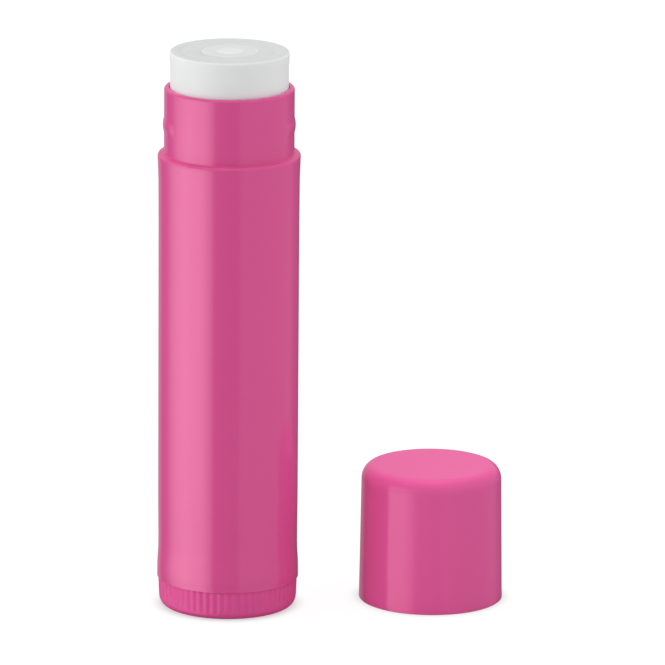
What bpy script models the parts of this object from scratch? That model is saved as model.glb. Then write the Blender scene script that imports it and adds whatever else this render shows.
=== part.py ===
"""A twist-up lip balm stick with its cap off, in metres, with +Z up.

The stick stands on its base wheel, and the origin is the centre of that foot. The cap stands
beside it on its open rim. The wheel and its screw are one moulding that turns in the barrel.
The screw lifts the elevator cup, which two keys in the barrel stop from turning, and the cup
carries the balm up through the neck.
"""
import math

import bmesh
import bpy
from mathutils import Matrix, Vector

mm = 0.001

# Barrel
barrel_radius = 8.0 * mm
barrel_wall = 1.1 * mm
barrel_length = 49.7 * mm
barrel_draft = 0.01 * mm
foot_waist = 0.045 * mm
foot_flare = 0.08 * mm
foot_flare_run = 4.1 * mm
foot_flare_flat = 1.0 * mm
foot_draft_run = 10.7 * mm
foot_chamfer = 0.1 * mm

# Shoulder, where the cap's rim comes to rest
shoulder_lip = 0.12 * mm
shoulder_lip_height = 0.55 * mm
shoulder_swell = 0.075 * mm
shoulder_swell_drop = 0.9 * mm
shoulder_swell_low = 0.03 * mm
shoulder_swell_run = 2.8 * mm
shoulder_swell_end = 8.0 * mm
shoulder_round = 0.16 * mm
shoulder_fillet = 0.1 * mm

# Neck
neck_wall = 0.5 * mm
neck_height = 7.75 * mm
rim_round = 0.3 * mm
rim_chamfer = 0.06 * mm

# Snap beads, two short arcs that hold the cap
bead_rise = 3.3 * mm
bead_height = 1.7 * mm
bead_proud = 0.13 * mm
bead_reach_degrees = 62
bead_steps = 12
bead_arc_points = 7

# Keys inside the barrel, which stop the cup from turning
key_width = 0.9 * mm
key_proud = 0.4 * mm
key_start = 1.0 * mm
key_hold = 2.6 * mm
key_clearance = 0.25 * mm

# Base wheel
wheel_height = 3.15 * mm
wheel_set_in = 0.05 * mm
wheel_taper = 0.08 * mm
wheel_round = 0.85 * mm
wheel_chamfer = 0.06 * mm
wheel_floor = 1.3 * mm
rib_count = 60
rib_depth = 0.2 * mm
rib_run_out = 0.2 * mm
parting_gap = 0.15 * mm

# Plug of the wheel, held in the barrel's foot by a snap ring
plug_depth = 3.9 * mm
plug_wall = 0.9 * mm
plug_clearance = 0.25 * mm
plug_chamfer = 0.25 * mm
ring_rise = 1.9 * mm
ring_proud = 0.55 * mm
ring_flat = 0.4 * mm
ring_height = 1.2 * mm
ring_clearance = 0.25 * mm

# Screw
core_radius = 1.55 * mm
core_tip_radius = 0.9 * mm
core_tip_length = 1.0 * mm
core_fillet = 0.8 * mm
screw_set_down = 5.75 * mm
thread_lead = 4.0 * mm
thread_turn_radius = 1.75 * mm
thread_bar_radius = 0.5 * mm
thread_clearance = 0.22 * mm
thread_start = 1.8 * mm
thread_stop_short = 1.3 * mm
thread_points_per_turn = 16
thread_bar_roundness = 1
thread_taper_shares = (0.45, 0.75, 1.0)

# Elevator cup
cup_clearance = 0.25 * mm
cup_wall = 0.75 * mm
cup_floor = 1.0 * mm
cup_depth = 6.0 * mm
cup_lip_chamfer = 0.2 * mm
skirt_length = 6.0 * mm
hub_wall = 0.85 * mm
hub_drop = 3.0 * mm
hub_rise = 4.0 * mm
web_count = 4
web_thickness = 0.8 * mm
web_height = 3.0 * mm
cup_stop_gap = 0.4 * mm
cup_set_down = 0.35 * mm

# Balm
balm_clearance = 0.18 * mm
balm_lip = 0.06 * mm
balm_lip_height = 1.6 * mm
balm_round = 0.25 * mm
balm_set_down = 0.55 * mm
balm_raise = 4.6 * mm

# Cap
cap_height = 15.7 * mm
cap_fit = 0.1 * mm
cap_wall = 0.75 * mm
cap_top_wall = 1.0 * mm
cap_draft = 0.19 * mm
cap_rim_flare = 0.03 * mm
cap_rim_flare_run = 0.8 * mm
cap_inner_draft = 0.15 * mm
cap_edge_round = 1.35 * mm
cap_edge_drop = 1.7 * mm
cap_inner_round = 0.8 * mm
cap_rim_chamfer = 0.06 * mm
cap_groove_clearance = 0.08 * mm
cap_side_gap = 7.1 * mm
cap_set_back = 3.0 * mm

# Shared fits and how finely round shapes are divided
seat_gap = 0.3 * mm
sink = 0.2 * mm
overrun = 1.0 * mm
weld_distance = 0.005 * mm
turn_steps = 60
inner_steps = 48
screw_steps = 16
round_points = 5
shoulder_points = 3
balm_edge_points = 4
cap_edge_points = 8
cap_inner_points = 4
sharp_angle_degrees = 32

# Heights and radii that follow from the sizes above
barrel_foot = wheel_height + parting_gap
shoulder_height = barrel_foot + barrel_length
rim_height = shoulder_height + neck_height
bore_radius = barrel_radius - barrel_wall
neck_radius = bore_radius + neck_wall
foot_radius = barrel_radius + foot_flare
lip_radius = barrel_radius + shoulder_lip
wheel_radius = barrel_radius - wheel_set_in
plug_radius = bore_radius - plug_clearance
plug_bore_radius = plug_radius - plug_wall
plug_top = barrel_foot + plug_depth
ring_radius = plug_radius + ring_proud
ring_middle = barrel_foot + ring_rise
screw_tip = rim_height - screw_set_down
key_bottom = plug_top + key_start
key_radius = bore_radius - key_proud
slot_radius = key_radius - key_clearance
slot_width = key_width + 2 * key_clearance
cup_radius = bore_radius - cup_clearance
cup_bore_radius = cup_radius - cup_wall
cup_length = skirt_length + cup_floor + cup_depth
cup_lowest = plug_top + cup_stop_gap
cup_rest = cup_lowest + balm_raise
cup_highest = rim_height - cup_set_down - cup_length
key_top = cup_highest + key_hold
crest_radius = thread_turn_radius + thread_bar_radius
hub_bore_radius = core_radius + thread_clearance
hub_radius = crest_radius + thread_clearance + hub_wall
balm_radius = bore_radius - balm_clearance
cap_bore_radius = neck_radius + cap_fit
cap_mouth_radius = cap_bore_radius + cap_wall
cap_side_radius = cap_mouth_radius - cap_rim_flare
cap_top_radius = cap_side_radius - cap_draft
cap_place = Vector((barrel_radius + cap_side_gap + cap_mouth_radius, cap_set_back, 0.0))

# Colours of the photographed mouldings and of the balm, as linear red, green, blue, alpha
pink = (0.72, 0.095, 0.29, 1.0)
natural = (0.80, 0.80, 0.78, 1.0)
balm_white = (0.76, 0.77, 0.76, 1.0)

# How rough each surface is
pink_roughness = 0.32
natural_roughness = 0.4
balm_roughness = 0.5


def clear_scene():
    """Remove what the file holds, so that the model starts alone."""
    for obj in list(bpy.data.objects):
        bpy.data.objects.remove(obj)


def make_collection(name):
    collection = bpy.data.collections.new(name)
    bpy.context.scene.collection.children.link(collection)
    return collection


def make_material(name, colour, roughness):
    material = bpy.data.materials.new(name)
    material.use_nodes = True
    shader = material.node_tree.nodes["Principled BSDF"]
    shader.inputs["Base Color"].default_value = colour
    shader.inputs["Roughness"].default_value = roughness
    shader.inputs["Metallic"].default_value = 0.0
    return material


def arc(radius, height, bend, start_degrees, end_degrees, points=round_points, drop=None):
    """Points of a rounded corner, around the centre at this radius and height.

    With a drop, the corner is a quarter of an ellipse that is this tall and bend wide.
    """
    tall = bend if drop is None else drop
    outline = []
    for index in range(points):
        share = index / (points - 1)
        angle = math.radians(start_degrees + (end_degrees - start_degrees) * share)
        outline.append((radius + bend * math.cos(angle), height + tall * math.sin(angle)))
    return outline


def bake(obj):
    """Apply an object's modifiers, and shade it smooth between its sharp edges."""
    depsgraph = bpy.context.evaluated_depsgraph_get()
    mesh = bpy.data.meshes.new_from_object(obj.evaluated_get(depsgraph))
    obj.modifiers.clear()
    obj.data = mesh
    mesh.name = obj.name
    mesh.shade_smooth()
    mesh.set_sharp_from_angle(angle=math.radians(sharp_angle_degrees))


def turned(name, outline, collection, steps=turn_steps, closed=True):
    """Turn an outline of (radius, height) points about the Z axis.

    The outline runs down its outer side. A closed one makes a ring, and an open one starts and
    ends on the axis.
    """
    mesh = bpy.data.meshes.new(name)
    edges = [(index, index + 1) for index in range(len(outline) - 1)]
    if closed:
        edges.append((len(outline) - 1, 0))
    mesh.from_pydata([(radius, 0.0, height) for radius, height in outline], edges, [])
    obj = bpy.data.objects.new(name, mesh)
    collection.objects.link(obj)
    screw = obj.modifiers.new("Turn", 'SCREW')
    screw.axis = 'Z'
    screw.angle = math.tau
    screw.steps = steps
    screw.render_steps = steps
    screw.use_merge_vertices = True
    screw.merge_threshold = weld_distance
    bake(obj)
    return obj


def swept_block(name, outline, start_degrees, end_degrees, steps, collection):
    """Sweep a closed (radius, height) outline part of the way round the Z axis."""
    shape = bmesh.new()
    turn = Matrix.Rotation(math.radians(start_degrees), 4, 'Z')
    corners = [shape.verts.new(turn @ Vector((radius, 0.0, height))) for radius, height in outline]
    section = shape.faces.new(corners)
    sweep = math.radians(end_degrees - start_degrees)
    bmesh.ops.spin(shape, geom=[section, *section.edges, *section.verts], axis=(0, 0, 1),
                   cent=(0, 0, 0), angle=sweep, steps=steps)
    bmesh.ops.recalc_face_normals(shape, faces=shape.faces)
    mesh = bpy.data.meshes.new(name)
    shape.to_mesh(mesh)
    shape.free()
    obj = bpy.data.objects.new(name, mesh)
    collection.objects.link(obj)
    return obj


def block(name, low, high, turn_degrees, collection):
    """A box between two corners, turned about the Z axis."""
    low, high = Vector(low), Vector(high)
    shape = bmesh.new()
    bmesh.ops.create_cube(shape, size=1)
    size = high - low
    place = Matrix.Translation((low + high) / 2) @ Matrix.Diagonal((*size, 1))
    bmesh.ops.transform(shape, matrix=place, verts=shape.verts)
    mesh = bpy.data.meshes.new(name)
    shape.to_mesh(mesh)
    shape.free()
    obj = bpy.data.objects.new(name, mesh)
    obj.rotation_euler.z = math.radians(turn_degrees)
    collection.objects.link(obj)
    return obj


def helix_bar(name, bar_radius, low, high, tapers, collection):
    """A round bar wound up a left-hand helix, which at each height lies where the thread does."""
    curve = bpy.data.curves.new(name, 'CURVE')
    curve.dimensions = '3D'
    curve.twist_mode = 'Z_UP'
    curve.bevel_depth = bar_radius
    curve.bevel_resolution = thread_bar_roundness
    curve.use_fill_caps = True
    steps = math.ceil((high - low) / thread_lead * thread_points_per_turn)
    spline = curve.splines.new('POLY')
    spline.points.add(steps)
    for index, point in enumerate(spline.points):
        height = low + (high - low) * index / steps
        angle = -math.tau * height / thread_lead
        x = thread_turn_radius * math.cos(angle)
        y = thread_turn_radius * math.sin(angle)
        point.co = (x, y, height, 1)
        from_end = min(index, steps - index)
        point.radius = tapers[min(from_end, len(tapers) - 1)]
    source = bpy.data.objects.new(name + "_curve", curve)
    collection.objects.link(source)
    depsgraph = bpy.context.evaluated_depsgraph_get()
    mesh = bpy.data.meshes.new_from_object(source.evaluated_get(depsgraph))
    weld_caps(mesh)
    obj = bpy.data.objects.new(name, mesh)
    obj.matrix_world = source.matrix_world
    collection.objects.link(obj)
    bpy.data.objects.remove(source)
    return obj


def weld_caps(mesh):
    """Join a curve's end caps to its side."""
    shape = bmesh.new()
    shape.from_mesh(mesh)
    bmesh.ops.remove_doubles(shape, verts=shape.verts, dist=weld_distance)
    bmesh.ops.recalc_face_normals(shape, faces=shape.faces)
    shape.to_mesh(mesh)
    shape.free()


def combine(obj, tool, operation):
    """Cut a tool shape out of an object, or join it on, and keep the tool as a hidden wire."""
    tool.hide_render = True
    tool.display_type = 'WIRE'
    boolean = obj.modifiers.new(tool.name, 'BOOLEAN')
    boolean.solver = 'EXACT'
    boolean.operation = operation
    boolean.object = tool
    bake(obj)


def groove_outline(radius, depth_radius, middle, flat, height):
    """A ring groove's four corners, from its top down, on a wall of this radius."""
    return [
        (radius, middle + height / 2),
        (depth_radius, middle + flat / 2),
        (depth_radius, middle - flat / 2),
        (radius, middle - height / 2),
    ]


def barrel_outline():
    outline = arc(neck_radius - rim_round, rim_height - rim_round, rim_round, 90, 0)
    outline += [
        (neck_radius, shoulder_height + shoulder_fillet),
        (neck_radius + shoulder_fillet, shoulder_height),
    ]
    outline += arc(lip_radius - shoulder_round, shoulder_height - shoulder_round, shoulder_round, 90, 0,
                   shoulder_points)
    outline += [
        (lip_radius, shoulder_height - shoulder_lip_height),
        (barrel_radius + shoulder_swell, shoulder_height - shoulder_swell_drop),
        (barrel_radius + shoulder_swell_low, shoulder_height - shoulder_swell_run),
        (barrel_radius, shoulder_height - shoulder_swell_end),
        (barrel_radius - barrel_draft, barrel_foot + foot_draft_run),
        (barrel_radius - foot_waist, barrel_foot + foot_flare_run),
        (foot_radius, barrel_foot + foot_flare_flat),
        (foot_radius, barrel_foot + foot_chamfer),
        (foot_radius - foot_chamfer, barrel_foot),
        (bore_radius + foot_chamfer, barrel_foot),
        (bore_radius, barrel_foot + foot_chamfer),
    ]
    groove = groove_outline(bore_radius, ring_radius + ring_clearance, ring_middle,
                            ring_flat + 2 * ring_clearance, ring_height + 2 * ring_clearance)
    outline += reversed(groove)
    outline += [
        (bore_radius, rim_height - rim_chamfer),
        (bore_radius + rim_chamfer, rim_height),
    ]
    return outline


def bead_outline():
    """A shallow swell on the neck's wall, sunk into it far enough to join."""
    half = bead_height / 2
    bend = (half ** 2 + bead_proud ** 2) / (2 * bead_proud)
    spread = math.degrees(math.asin(half / bend))
    middle = shoulder_height + bead_rise
    outline = arc(neck_radius + bead_proud - bend, middle, bend, spread, -spread, bead_arc_points)
    outline += [(neck_radius - sink, middle - half), (neck_radius - sink, middle + half)]
    return outline


def make_barrel(parts, tools, material):
    """The tube, its thinner neck, the two snap beads and the two keys, all one moulding."""
    barrel = turned("barrel", barrel_outline(), parts)
    for side, degrees in (("right", 0), ("left", 180)):
        start = degrees - bead_reach_degrees / 2
        bead = swept_block("bead_" + side, bead_outline(), start, start + bead_reach_degrees,
                           bead_steps, tools)
        combine(barrel, bead, 'UNION')
        key = block("key_" + side, (key_radius, -key_width / 2, key_bottom),
                    (bore_radius + sink, key_width / 2, key_top), degrees, tools)
        combine(barrel, key, 'UNION')
    barrel.data.materials.clear()
    barrel.data.materials.append(material)
    return barrel


def plug_outline():
    """The hollow plug with its snap ring, down to the floor inside the grip."""
    outline = [
        (0.0, wheel_floor),
        (plug_bore_radius, wheel_floor),
        (plug_bore_radius, plug_top - plug_chamfer),
        (plug_bore_radius + plug_chamfer, plug_top),
        (plug_radius - plug_chamfer, plug_top),
        (plug_radius, plug_top - plug_chamfer),
    ]
    outline += groove_outline(plug_radius, ring_radius, ring_middle, ring_flat, ring_height)
    outline += [(plug_radius, 0.0), (0.0, 0.0)]
    return outline


def grip_outline():
    """The grip's ring in section, with its rounded lower edge."""
    outline = [
        (wheel_radius - wheel_chamfer, wheel_height),
        (wheel_radius, wheel_height - wheel_chamfer),
        (wheel_radius - wheel_taper, wheel_round + rib_run_out),
    ]
    outline += arc(wheel_radius - wheel_taper - wheel_round, wheel_round, wheel_round, 0, -90)
    outline += [(plug_radius - sink, 0.0), (plug_radius - sink, wheel_height)]
    return outline


def screw_outline():
    """The screw's core, which stands on the plug's floor."""
    return [
        (0.0, screw_tip),
        (core_tip_radius, screw_tip),
        (core_radius, screw_tip - core_tip_length),
        (core_radius, wheel_floor + core_fillet),
        (core_radius + core_fillet, wheel_floor),
        (core_radius + core_fillet, wheel_floor - sink),
        (0.0, wheel_floor - sink),
    ]


def press_ribs(grip):
    """Draw every second line of the grip in, which leaves the ribs standing between them."""
    rib_low = wheel_round + rib_run_out / 2
    valley_step = math.pi / rib_count
    for vertex in grip.data.vertices:
        radius = vertex.co.xy.length
        step = round(math.atan2(vertex.co.y, vertex.co.x) / valley_step)
        outside = radius > plug_radius
        if outside and vertex.co.z > rib_low and step % 2:
            vertex.co.xy *= (radius - rib_depth) / radius


def make_base_wheel(parts, tools, material):
    """The ribbed grip, the plug that snaps into the barrel and the screw, all one moulding."""
    wheel = turned("base_wheel", plug_outline(), parts, inner_steps, closed=False)
    grip = turned("grip", grip_outline(), tools, 2 * rib_count)
    press_ribs(grip)
    combine(wheel, grip, 'UNION')
    core = turned("screw_core", screw_outline(), tools, screw_steps, closed=False)
    combine(wheel, core, 'UNION')
    thread = helix_bar("thread", thread_bar_radius, plug_top + thread_start,
                       screw_tip - thread_stop_short, thread_taper_shares, tools)
    combine(wheel, thread, 'UNION')
    wheel.data.materials.clear()
    wheel.data.materials.append(material)
    return wheel


def cup_outline():
    """The elevator cup in section, measured up from the bottom edge of its skirt."""
    floor_low = skirt_length
    floor_high = floor_low + cup_floor
    hub_low = floor_low - hub_drop
    hub_high = floor_high + hub_rise
    return [
        (cup_radius - cup_lip_chamfer, cup_length),
        (cup_radius, cup_length - cup_lip_chamfer),
        (cup_radius, cup_lip_chamfer),
        (cup_radius - cup_lip_chamfer, 0.0),
        (cup_bore_radius, 0.0),
        (cup_bore_radius, floor_low),
        (hub_radius, floor_low),
        (hub_radius, hub_low),
        (hub_bore_radius, hub_low),
        (hub_bore_radius, hub_high),
        (hub_radius, hub_high),
        (hub_radius, floor_high),
        (cup_bore_radius, floor_high),
        (cup_bore_radius, cup_length),
    ]


def add_webs(name, obj, thickness, low, high, operation, tools):
    """Radial webs between the hub and the cup's wall, or the slots that they leave in the balm."""
    reach = cup_bore_radius + sink
    for index in range(web_count):
        turn_degrees = 360 * (index + 0.5) / web_count
        web = block(f"{name}_{index + 1}", (hub_radius - sink, -thickness / 2, low),
                    (reach, thickness / 2, high), turn_degrees, tools)
        web.parent = obj
        combine(obj, web, operation)


def cut_key_slots(obj, low, high, tools):
    """Slots for the barrel's two keys, with the running clearance all round."""
    for side, degrees in (("right", 0), ("left", 180)):
        slot = block(f"{obj.name}_slot_{side}", (slot_radius, -slot_width / 2, low),
                     (bore_radius + overrun, slot_width / 2, high), degrees, tools)
        slot.parent = obj
        combine(obj, slot, 'DIFFERENCE')


def make_elevator_cup(parts, tools, material):
    """The carrier: a cup for the balm, a skirt that keeps it square and a threaded hub."""
    cup = turned("elevator_cup", cup_outline(), parts, inner_steps)
    cup.location.z = cup_rest
    floor_high = skirt_length + cup_floor
    add_webs("web", cup, web_thickness, floor_high - sink, floor_high + web_height, 'UNION', tools)
    cut_key_slots(cup, -overrun, cup_length + overrun, tools)
    tap = helix_bar("hub_tap", thread_bar_radius + thread_clearance,
                    cup_rest + skirt_length - hub_drop - thread_lead / 2,
                    cup_rest + skirt_length + cup_floor + hub_rise + thread_lead / 2, (1.0,), tools)
    combine(cup, tap, 'DIFFERENCE')
    cup.data.materials.clear()
    cup.data.materials.append(material)
    return cup


def balm_outline():
    """The balm in section, measured up from the bottom edge of the cup that carries it."""
    floor = skirt_length + cup_floor + seat_gap
    hub_high = skirt_length + cup_floor + hub_rise + seat_gap
    above_cup = cup_length + seat_gap
    top = rim_height - balm_set_down - cup_lowest
    bore_top = screw_tip + seat_gap - cup_lowest
    lip = balm_radius + balm_lip
    shank = cup_bore_radius - cup_clearance
    screw_bore = crest_radius + seat_gap
    outline = [(0.0, top)]
    outline += arc(lip - balm_round, top - balm_round, balm_round, 90, 0, balm_edge_points)
    outline += [
        (lip, top - balm_lip_height / 2),
        (balm_radius, top - balm_lip_height),
        (balm_radius, above_cup),
        (shank, above_cup),
        (shank, floor),
        (hub_radius + seat_gap, floor),
        (hub_radius + seat_gap, hub_high),
        (screw_bore, hub_high),
        (screw_bore, bore_top),
        (0.0, bore_top + screw_bore / 2),
    ]
    return outline


def make_balm(parts, tools, material, cup):
    """The balm itself, poured round the screw and set in the cup."""
    balm = turned("balm", balm_outline(), parts, turn_steps, closed=False)
    balm.parent = cup
    key_reach = key_top - cup_lowest + seat_gap
    cut_key_slots(balm, skirt_length, key_reach, tools)
    floor_high = skirt_length + cup_floor
    add_webs("balm_web_slot", balm, web_thickness + 2 * cup_clearance, floor_high - overrun,
             floor_high + web_height + seat_gap, 'DIFFERENCE', tools)
    balm.data.materials.clear()
    balm.data.materials.append(material)
    return balm


def cap_outline():
    """The cap in section, standing on its open rim, with the ring groove for the snap beads."""
    inner_top = cap_height - cap_top_wall
    inner_top_radius = cap_bore_radius - cap_inner_draft
    groove_radius = neck_radius + bead_proud + cap_groove_clearance
    groove = groove_outline(cap_bore_radius, groove_radius, bead_rise, bead_height / 2, bead_height)
    outline = [(0.0, cap_height)]
    outline += arc(cap_top_radius - cap_edge_round, cap_height - cap_edge_drop, cap_edge_round, 90, 0,
                   cap_edge_points, cap_edge_drop)
    outline += [
        (cap_side_radius, cap_rim_flare_run),
        (cap_mouth_radius, cap_rim_chamfer),
        (cap_mouth_radius - cap_rim_chamfer, 0.0),
        (cap_bore_radius + cap_rim_chamfer, 0.0),
        (cap_bore_radius, cap_rim_chamfer),
    ]
    outline += reversed(groove)
    outline += reversed(arc(inner_top_radius - cap_inner_round, inner_top - cap_inner_round,
                            cap_inner_round, 90, 0, cap_inner_points))
    outline.append((0.0, inner_top))
    return outline


def make_cap(parts, material):
    cap = turned("cap", cap_outline(), parts, turn_steps, closed=False)
    cap.location = cap_place
    cap.data.materials.append(material)
    return cap


def build():
    clear_scene()
    parts = make_collection("lip_balm_stick")
    tools = make_collection("cutters")
    pink_plastic = make_material("pink_plastic", pink, pink_roughness)
    plain_plastic = make_material("natural_plastic", natural, natural_roughness)
    balm_wax = make_material("balm_wax", balm_white, balm_roughness)
    barrel = make_barrel(parts, tools, pink_plastic)
    wheel = make_base_wheel(parts, tools, pink_plastic)
    cup = make_elevator_cup(parts, tools, plain_plastic)
    balm = make_balm(parts, tools, balm_wax, cup)
    cap = make_cap(parts, pink_plastic)
    for moving in (wheel, cup, cap):
        moving.parent = barrel
    for obj in (barrel, wheel, cup, balm, cap):
        obj.data.calc_loop_triangles()
        print(obj.name, "has", len(obj.data.loop_triangles), "triangles")
    print("the cup travels from", round((cup_lowest - cup_rest) / mm, 3), "to",
          round((cup_highest - cup_rest) / mm, 3), "mm, at", thread_lead / mm, "mm a turn")


build()
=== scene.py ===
# %% [markdown]
# A twist-up lip balm stick stands with its cap off, and the cap stands beside it. The packed
# model brings the true sizes, the bodies and the joints. This lesson dresses it: each moulding
# that shows is modelled again with fine rounded edges, and every moulding then gets its plastic
# or its wax.

# %% Load the imported model
import math

import bmesh
import bpy
from mathutils import Matrix, Vector


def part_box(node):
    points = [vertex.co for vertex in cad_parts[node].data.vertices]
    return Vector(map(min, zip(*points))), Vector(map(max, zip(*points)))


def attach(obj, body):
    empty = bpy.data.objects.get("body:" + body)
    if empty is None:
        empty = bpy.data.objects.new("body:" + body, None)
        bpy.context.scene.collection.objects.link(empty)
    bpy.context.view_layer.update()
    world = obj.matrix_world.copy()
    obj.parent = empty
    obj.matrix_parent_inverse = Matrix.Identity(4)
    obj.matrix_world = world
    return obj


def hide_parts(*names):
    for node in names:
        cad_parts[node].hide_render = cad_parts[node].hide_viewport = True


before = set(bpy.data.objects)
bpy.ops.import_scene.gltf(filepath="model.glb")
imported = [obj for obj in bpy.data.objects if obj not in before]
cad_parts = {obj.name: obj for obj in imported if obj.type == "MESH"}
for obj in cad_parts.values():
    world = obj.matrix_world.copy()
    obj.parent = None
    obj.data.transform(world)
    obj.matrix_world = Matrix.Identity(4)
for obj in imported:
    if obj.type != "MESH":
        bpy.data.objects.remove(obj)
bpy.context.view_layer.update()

mm = 0.001

# %% [markdown]
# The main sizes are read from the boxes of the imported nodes, so a change there carries over to
# the looks. The rest are small sizes that a maker would keep on the drawing, such as a wall, a
# gap, the depth of a rib or the round of an edge.

# %% Read the main sizes from the nodes
barrel_low, barrel_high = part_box("barrel")
wheel_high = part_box("base_wheel")[1]
cup_low, cup_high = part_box("elevator_cup")
balm_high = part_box("balm")[1]
cap_low, cap_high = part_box("cap")

barrel_foot = barrel_low.z
rim_height = barrel_high.z
lip_radius = barrel_high.x
wheel_radius = wheel_high.x
screw_tip = wheel_high.z
cup_rest = cup_low.z
balm_top = balm_high.z
balm_lip_radius = balm_high.x
cap_height = cap_high.z
cap_mouth_radius = (cap_high.x - cap_low.x) / 2
cap_centre = (cap_low + cap_high) / 2
print("barrel from", round(barrel_foot / mm, 2), "to", round(rim_height / mm, 2), "mm")

# %% [markdown]
# A turned moulding is drawn as a lathe hand would think of it: one ring of points, pulled
# along the outline from station to station. In Blender that is a circle in edit mode that is
# extruded and scaled again and again. A modifier that spins an outline gives the same faces,
# but rings are easier to pick out later, when an edge is rounded or a rib is pressed in.

# %% Helpers that draw a turned shape
axis = (0.0, 0.0, 0.0)
near = 0.004 * mm
fine_columns = 192
pole_radius = 0.5 * mm


def first_ring(name, radius, height, columns=fine_columns):
    """Add a circle at its size and place, and open it in edit mode with all of it selected."""
    bpy.ops.object.select_all(action='DESELECT')
    bpy.ops.mesh.primitive_circle_add(vertices=columns, radius=radius, location=(0, 0, height))
    piece = bpy.context.object
    piece.name = name
    piece.data.name = name
    bpy.ops.object.transform_apply(location=True, rotation=True, scale=True)
    bpy.ops.object.mode_set(mode='EDIT')
    bpy.ops.mesh.select_mode(type='EDGE')
    bpy.ops.mesh.select_all(action='SELECT')
    return piece


def pull_rings(outline):
    """Extrude the selected ring along an outline of (radius, height) points."""
    radius, height = outline[0]
    for next_radius, next_height in outline[1:]:
        rise = (0, 0, next_height - height)
        bpy.ops.mesh.extrude_region_move(TRANSFORM_OT_translate={"value": rise})
        share = next_radius / radius
        bpy.ops.transform.resize(value=(share, share, 1), center_override=axis)
        radius, height = next_radius, next_height


def turn(name, outline, columns=fine_columns):
    """Draw a whole outline, and leave its two ends open."""
    piece = first_ring(name, *outline[0], columns)
    pull_rings(outline)
    return piece


def join_ends():
    """Bridge the last ring to the first, which closes a tube."""
    bpy.ops.mesh.select_all(action='DESELECT')
    bpy.ops.mesh.select_non_manifold()
    bpy.ops.mesh.bridge_edge_loops()
    face_outwards()


def close_poles(columns=fine_columns):
    """Fill the small rings around the axis, and divide each fill from its middle."""
    bpy.ops.mesh.select_all(action='DESELECT')
    bpy.ops.mesh.select_non_manifold()
    bpy.ops.mesh.fill_holes(sides=columns)
    bpy.ops.mesh.select_mode(type='FACE')
    bpy.ops.mesh.select_all(action='DESELECT')
    bpy.ops.mesh.select_face_by_sides(number=4, type='GREATER')
    bpy.ops.mesh.poke()
    face_outwards()


def face_outwards():
    """Turn every face of the open piece to its outside."""
    bpy.ops.mesh.select_all(action='SELECT')
    bpy.ops.mesh.normals_make_consistent(inside=False)


# %% [markdown]
# Edit mode works on what is selected. By hand one would click a ring or a patch; here they are
# found by where they are, as a radius, an angle round the axis and a height.

# %% Helpers that select by place
def polar(point):
    """A point as its radius, its angle from the +X axis in degrees, and its height."""
    return point.xy.length, math.degrees(math.atan2(point.y, point.x)), point.z


def pick(kind, test):
    """Select what lies where the test says, and return how many were found."""
    bpy.ops.mesh.select_mode(type=kind)
    bpy.ops.mesh.select_all(action='DESELECT')
    shape = bmesh.from_edit_mesh(bpy.context.object.data)
    group = {'VERT': shape.verts, 'EDGE': shape.edges, 'FACE': shape.faces}[kind]
    found = 0
    for part in group:
        if kind == 'VERT':
            inside = test(*polar(part.co))
        elif kind == 'EDGE':
            inside = all(test(*polar(corner.co)) for corner in part.verts)
        else:
            inside = test(*polar(part.calc_center_median()))
        if inside:
            part.select_set(True)
            found += 1
    bmesh.update_edit_mesh(bpy.context.object.data)
    return found


def pick_ring(radius, height):
    """Select the ring of edges at this radius and height."""
    return pick('EDGE', lambda r, a, z: abs(r - radius) < near and abs(z - height) < near)


def round_ring(radius, height, width, segments=3):
    """Round the corner at this ring."""
    pick_ring(radius, height)
    bpy.ops.mesh.bevel(offset=width, segments=segments, profile=0.5, affect='EDGES')


def arc(radius, height, wide, tall, start_degrees, end_degrees, steps):
    """Points of a round corner, as part of an ellipse around this radius and height."""
    outline = []
    for index in range(steps + 1):
        angle = math.radians(start_degrees + (end_degrees - start_degrees) * index / steps)
        outline.append((radius + wide * math.cos(angle), height + tall * math.sin(angle)))
    return outline


def ease(start, end, steps):
    """Points that swing smoothly from one (radius, height) to the next, the start left out."""
    outline = []
    for index in range(1, steps + 1):
        share = index / steps
        swing = (1 - math.cos(math.pi * share)) / 2
        outline.append((start[0] + (end[0] - start[0]) * swing, start[1] + (end[1] - start[1]) * share))
    return outline


# %% [markdown]
# Plastic that is shaded smooth all over looks swollen beside its narrow roundings, because the
# wide faces borrow their neighbours' tilt. Weighted normals let the widest face at each point
# decide, so walls stay straight and only the rounding turns.

# %% Helper that finishes a piece
smooth_degrees = 32


def apply_all(piece):
    """Apply every modifier of a piece, in order."""
    bpy.ops.object.select_all(action='DESELECT')
    piece.select_set(True)
    bpy.context.view_layer.objects.active = piece
    for modifier in list(piece.modifiers):
        bpy.ops.object.modifier_apply(modifier=modifier.name)


def finish_piece(piece, body, slot, *nodes):
    """Shade a piece, let it ride on its body, and let it stand for its nodes."""
    apply_all(piece)
    bpy.ops.object.shade_smooth_by_angle(angle=math.radians(smooth_degrees))
    even = piece.modifiers.new("Even shading", 'WEIGHTED_NORMAL')
    even.keep_sharp = True
    apply_all(piece)
    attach(piece, body)
    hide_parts(*nodes)
    print(piece.name, "has", len(piece.data.polygons), "faces and rides on", body)


# %% [markdown]
# The tube is one injection moulding. Its outside has a little draft, a foot that flares where
# the wheel meets it, and a swollen lip at the shoulder, where the cap's rim comes to rest.
# Such slight curves cost nothing to model, and they bend the reflections as real tubes do. The
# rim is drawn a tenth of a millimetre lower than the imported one, with a thin lip just inside
# its mouth, so that the balm fills the mouth as it does in the picture.

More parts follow.
